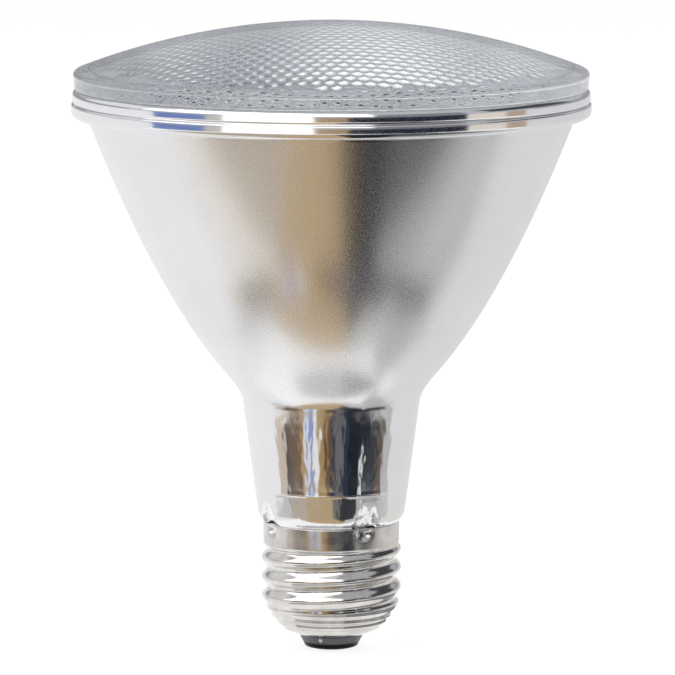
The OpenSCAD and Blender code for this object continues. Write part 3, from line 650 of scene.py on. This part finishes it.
# %% Shear, trim and push a grid
def lenslet_grid():
    count = 2 * math.ceil(1.25 * foot_in_r / grid_step)
    bm = bmesh.new()
    bmesh.ops.create_grid(bm, x_segments=count, y_segments=count, size=count * grid_step / 2)
    shear = Matrix(((1, 0.5, 0), (0, math.sqrt(3) / 2, 0), (0, 0, 1)))
    turn = Matrix.Rotation(math.radians(30), 3, "Z")
    bmesh.ops.transform(bm, matrix=(turn @ shear).to_4x4(), verts=bm.verts)
    bmesh.ops.triangulate(bm, faces=bm.faces, quad_method="SHORT_EDGE")
    limit = foot_in_r + 0.3 * grid_step
    outer = [v for v in bm.verts if math.hypot(v.co.x, v.co.y) > limit]
    bmesh.ops.delete(bm, geom=outer, context="VERTS")
    for vert in bm.verts:
        x, y = vert.co.x, vert.co.y
        r = math.hypot(x, y)
        vert.co.z = dome_height(min(r, foot_in_r), DOME_R - LENS_WALL) - lenslet_depth(x, y)
    return bm


bm = lenslet_grid()
print("points in the lattice:", len(bm.verts))

# %% [markdown]
# The trimmed grid has a ragged edge. Its boundary points are pulled onto the circle where the glass
# foot begins, and the boundary is then extruded ring by ring: out along the foot, up the edge, round
# the shoulder and over the dome to the middle, so that the whole lens is one closed skin.

# %% Close the lens with rings
DOME_RINGS = 14
upright_r = lens_edge_r - 0.2
rim_rings = (
    [(foot_in_r + 0.4, seam_z)]
    + bend((upright_r - 0.55, seam_z), (upright_r, seam_z), (upright_r, seam_z + 0.55), 5)
    + bend((upright_r, seam_z + EDGE_H - 0.5), (lens_edge_r, seam_z + EDGE_H - 0.4), (lens_edge_r, seam_z + EDGE_H), 5)
    + bend((lens_edge_r, seam_z + EDGE_H), (lens_edge_r, dome_height(lens_edge_r, DOME_R)),
           (dome_edge_r, dome_height(dome_edge_r, DOME_R)), 7)[1:]
    + [(r, dome_height(r, DOME_R)) for r in [dome_edge_r * (1 - k / DOME_RINGS) for k in range(1, DOME_RINGS)]]
)


def boundary(bm):
    return [e for e in bm.edges if e.is_boundary]


for vert in {v for e in boundary(bm) for v in e.verts}:
    flat = Vector((vert.co.x, vert.co.y, 0)).normalized() * foot_in_r
    vert.co = Vector((flat.x, flat.y, seam_z))
ring = boundary(bm)
for r, z in rim_rings:
    made = bmesh.ops.extrude_edge_only(bm, edges=ring)["geom"]
    for vert in [g for g in made if isinstance(g, bmesh.types.BMVert)]:
        flat = Vector((vert.co.x, vert.co.y, 0)).normalized() * r
        vert.co = Vector((flat.x, flat.y, z))
    ring = [g for g in made if isinstance(g, bmesh.types.BMEdge)]
middle = bm.verts.new((0, 0, dome_height(0, DOME_R)))
for edge in ring:
    bm.faces.new((*edge.verts, middle))
bmesh.ops.scale(bm, vec=(MM, MM, MM), verts=bm.verts)
print("open edges left:", len(boundary(bm)))
finish_piece("lens_glass", bm, [lens_glass], "lens", 25.0)

# %% [markdown]
# ## Nickel plate
# The shell is thin brass rolled to a thread and plated with bright nickel, which is a little warmer
# than silver. Rolling leaves it slightly uneven, so highlights break up, and the plating is a little
# hazier on the plain skirt above the thread.

# %% Material of the shell
def nickel_plate():
    material, tree, shader = new_material("bright_nickel_plate", Metallic=1.0)
    cloudy = grain(tree, 3.0, 3.0).outputs["Fac"]
    tree.links.new(tint(tree, spread(tree, cloudy, 0.35, 0.65, 0, 1), "#d0cdc8", "#e4e2de"), shader.inputs["Base Color"])
    place = add(tree, "ShaderNodeTexCoord").outputs["Object"]
    height = add(tree, "ShaderNodeSeparateXYZ", {}, {"Vector": place}).outputs["Z"]
    skirt_haze = spread(tree, height, (shell_top_z - 4.2) * MM, (shell_top_z - 3.4) * MM, 0, 0.1)
    uneven = spread(tree, cloudy, 0.3, 0.7, 0.09, 0.18)
    rough = add(tree, "ShaderNodeMath", {}, {0: uneven, 1: skirt_haze}, operation="ADD").outputs[0]
    tree.links.new(rough, shader.inputs["Roughness"])
    bump(tree, shader, grain(tree, 1.4, 2.0).outputs["Fac"], 0.03, 0.4)
    return material


nickel = nickel_plate()

# %% [markdown]
# ## The screw shell
# Spin a profile of skirt, thread band and stepped foot, and then move each point of the band out or
# in by a wave that climbs one pitch for each turn. That is a true right-handed thread, and it can
# fade out at both ends, which a screw operator can't do.

# %% Profile of the shell
THREAD_PITCH = 3.629
THREAD_DEPTH = 0.95
CREST_Z = 15.35
FADE = 1.5
SHEET = 0.3
STAKE_W = 3.8
STAKE_H = 3.0
root_r = crest_r - THREAD_DEPTH
mean_r = (crest_r + root_r) / 2
thread_top_z = shell_top_z - 3.8
thread_low_z = shell_lip_z + 5.1
lip_hole_r = 6.2
FOOT_STEPS = [(0, 0), (0.14, 0.13), (0.14, 0.29), (0.29, 0.36), (0.30, 0.53), (0.47, 0.63), (0.50, 0.74), (0.7, 0.85), (1, 1)]
SHELL_COLUMNS = 180


def band_radius(z):
    """Plain radius of the band, which blends to the skirt above and to the root below."""
    top = 1 - smooth((thread_top_z - z) / FADE)
    low = 1 - smooth((z - thread_low_z) / FADE)
    return mean_r + (skirt_r - mean_r) * top - (mean_r - root_r) * low


def foot_outline():
    """The stepped foot, with each corner rounded by a small bend."""
    corners = [(root_r + (lip_hole_r - root_r) * a, thread_low_z + (shell_lip_z - thread_low_z) * b)
               for a, b in FOOT_STEPS]
    points = [corners[0]]
    for before, corner, after in zip(corners, corners[1:], corners[2:]):
        start = tuple(c + (b - c) * 0.28 for b, c in zip(before, corner))
        end = tuple(c + (a - c) * 0.28 for a, c in zip(after, corner))
        points += bend(start, corner, end, 3)
    return points + [corners[-1]]


profile = (
    [(skirt_r, shell_top_z)]
    + steps_up(lambda z: skirt_r, shell_top_z - 0.15, thread_top_z + 0.1, 20)
    + steps_up(band_radius, thread_top_z, thread_low_z, 96)
    + foot_outline()[1:]
)

# %% Roll the thread and press in the four dents
def thread_wave(angle, z):
    turn = 360 * (z - CREST_Z) / THREAD_PITCH - angle
    fade = smooth((thread_top_z - z) / FADE) * smooth((z - thread_low_z) / FADE)
    return THREAD_DEPTH / 2 * math.cos(math.radians(turn)) * fade


def dent(angle, z):
    """Depth of the staked dents at a point of the skirt."""
    gap = min(abs((angle - stake + 180) % 360 - 180) for stake in STAKE_ANGLES)
    across = math.radians(gap) * skirt_r / (STAKE_W / 2)
    up = (z - stake_z) / (STAKE_H / 2)
    return STAKE_DEPTH * max(0.0, 1 - across ** 2 - up ** 2) ** 1.5


bm = spun(profile, SHELL_COLUMNS)
for vert in bm.verts:
    r, z = math.hypot(vert.co.x, vert.co.y) / MM, vert.co.z / MM
    angle = math.degrees(math.atan2(vert.co.y, vert.co.x))
    grown = (r + thread_wave(angle, z) - dent(angle, z)) / r
    vert.co.x *= grown
    vert.co.y *= grown
shell = finish_piece("screw_shell_plate", bm, [nickel], "screw_shell", 50.0)
wall = shell.modifiers.new("sheet", "SOLIDIFY")
wall.thickness = SHEET * MM
wall.offset = -1.0
print(f"thread from {thread_low_z:.1f} to {thread_top_z:.1f} mm, {THREAD_PITCH} mm a turn")

# %% [markdown]
# ## The foot: black glass, eyelet and solder
# Black glass is poured into the shell's foot round the middle lead. It is glossy and nearly black. An
# eyelet of tinned brass is pressed under it, and solder closes its hole.

# %% Materials of the foot
def black_glass():
    material, tree, shader = new_material("black_glass", IOR=1.5)
    place = add(tree, "ShaderNodeTexCoord").outputs["Object"]
    height = add(tree, "ShaderNodeSeparateXYZ", {}, {"Vector": place}).outputs["Z"]
    # Painted light and shade: the rounded lower edge is painted near black with little gloss as the shade under the
    # foot, and the glass above it is painted a lighter grey with more gloss as a reflection of the lit floor.
    painted_shade_to_light = spread(tree, height, (insulator_low_z + 0.9) * MM, (insulator_low_z + 1.25) * MM, 0, 1)
    tree.links.new(tint(tree, painted_shade_to_light, "#0d0f14", "#6e6e72"), shader.inputs["Base Color"])
    tree.links.new(spread(tree, painted_shade_to_light, 0, 1, 0.12, 0.4), shader.inputs["Roughness"])
    tree.links.new(spread(tree, painted_shade_to_light, 0, 1, 0.12, 0.5), shader.inputs["Specular IOR Level"])
    bump(tree, shader, grain(tree, 1.5, 2.0).outputs["Fac"], 0.02, 0.4)
    return material


def tinned_brass():
    material, tree, shader = new_material("tinned_brass", Metallic=1.0, Roughness=0.25)
    marks = grain(tree, 0.8, 3.0).outputs["Fac"]
    tree.links.new(tint(tree, marks, "#b8b2a4", "#d2cec4"), shader.inputs["Base Color"])
    tree.links.new(spread(tree, marks, 0.3, 0.7, 0.18, 0.34), shader.inputs["Roughness"])
    return material


def soft_solder():
    material, tree, shader = new_material("tin_solder", Metallic=1.0, Roughness=0.32)
    shader.inputs["Base Color"].default_value = linear("#c4c4c2")
    bump(tree, shader, grain(tree, 0.5, 2.0).outputs["Fac"], 0.03, 0.5)
    return material


black, brass, solder = black_glass(), tinned_brass(), soft_solder()

# %% Spin the foot's pieces
foot_r = lip_hole_r - 1.1
waist_r = lip_hole_r - 0.2
INSULATOR_ROUND = 0.7
CONTACT_T = 0.5
SOLDER_R = 1.2
BARREL_R = 1.5
cone = (
    [(contact_r + 0.05, insulator_low_z + 0.05)]
    + bend((foot_r - INSULATOR_ROUND, insulator_low_z), (foot_r, insulator_low_z),
           (foot_r + 0.1, insulator_low_z + INSULATOR_ROUND), 8)
    + [(waist_r, shell_lip_z - 0.15), (waist_r, shell_lip_z + 0.3), (waist_r + 2.0, shell_lip_z + 1.6)]
    + [(root_r - 2.2, insulator_top_z - 0.6), (root_r - 2.2, insulator_top_z), (0.5, insulator_top_z)]
    + [(0.5, CONTACT_T + 0.02), (contact_r + 0.05, CONTACT_T + 0.02), (contact_r + 0.05, insulator_low_z + 0.05)]
)
finish_piece("insulator_glass", spun(cone, 96), [black], "base_insulator")
eyelet = (
    [(SOLDER_R, 0.0)]
    + [(contact_r - 0.2, 0.0)]
    + arc(contact_r - 0.2, 0.2, 0.2, -90, 0, 4)[1:]
    + [(contact_r, CONTACT_T), (BARREL_R, CONTACT_T), (BARREL_R, barrel_top_z), (SOLDER_R, barrel_top_z)]
    + [(SOLDER_R, 0.0)]
)
finish_piece("contact_plate", spun(eyelet, 96), [brass], "contact_eyelet")

# %% [markdown]
# ## What sits inside
# The small pieces behind the lens keep their shapes from the construction and get their materials:
# quartz for the capsule, tungsten for the filament, thin molybdenum foil, bright steel, copper wire
# and a woven glass sleeve. They hardly show, but they give the lens something real to bend.

# %% Materials of the inner pieces
def drawn_metal(name, dark, light, roughness, size_mm):
    """Wire or sheet metal with fine marks along its surface."""
    material, tree, shader = new_material(name, Metallic=1.0, Roughness=roughness)
    marks = grain(tree, size_mm, 3.0).outputs["Fac"]
    tree.links.new(tint(tree, marks, dark, light), shader.inputs["Base Color"])
    tree.links.new(spread(tree, marks, 0.3, 0.7, roughness - 0.06, roughness + 0.08), shader.inputs["Roughness"])
    return material


def plain_surface(name, dark, light, roughness, size_mm, depth_mm):
    """A surface that isn't metal, such as cement or a woven sleeve."""
    material, tree, shader = new_material(name, Roughness=roughness)
    marks = grain(tree, size_mm, 3.0).outputs["Fac"]
    tree.links.new(tint(tree, spread(tree, marks, 0.35, 0.65, 0, 1), dark, light), shader.inputs["Base Color"])
    bump(tree, shader, marks, depth_mm, 0.6)
    return material


quartz = clear_glass("fused_quartz", "#f8f9fa", 0.02)
tungsten = drawn_metal("drawn_tungsten", "#6a6a6c", "#8e8e92", 0.3, 0.3)
foil = drawn_metal("molybdenum_foil", "#8e8e92", "#a6a6aa", 0.25, 0.4)
steel = drawn_metal("bright_steel_sheet", "#b0b0b0", "#cacaca", 0.25, 1.2)
copper = drawn_metal("drawn_copper", "#b06a48", "#cc8a62", 0.28, 0.5)
cement = plain_surface("cured_cement", "#c8c8c8", "#f0f0f0", 0.8, 0.9, 0.05)
sleeve = plain_surface("woven_glass_sleeve", "#cfc9b8", "#ece8dc", 0.9, 0.25, 0.06)

# %% Give each node of the frame its material
NODE_MATERIALS = {
    "capsule": quartz, "filament": tungsten, "filament_lead_low": tungsten, "filament_lead_high": tungsten,
    "foil_left": foil, "foil_right": foil, "pin_left": steel, "pin_right": steel, "capsule_clip": steel,
    "ferrule_left": brass, "ferrule_right": brass, "side_lead": copper, "centre_lead_upper": copper,
    "centre_lead_lower": copper, "fuse_wire": solder, "fuse_sleeve": sleeve, "lens_bond": cement,
    "solder_bead": solder, "contact_solder": solder,
}
for name, material in NODE_MATERIALS.items():
    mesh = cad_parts[name].data
    mesh.materials.clear()
    mesh.materials.append(material)
print("nodes with a material of their own:", len(NODE_MATERIALS))
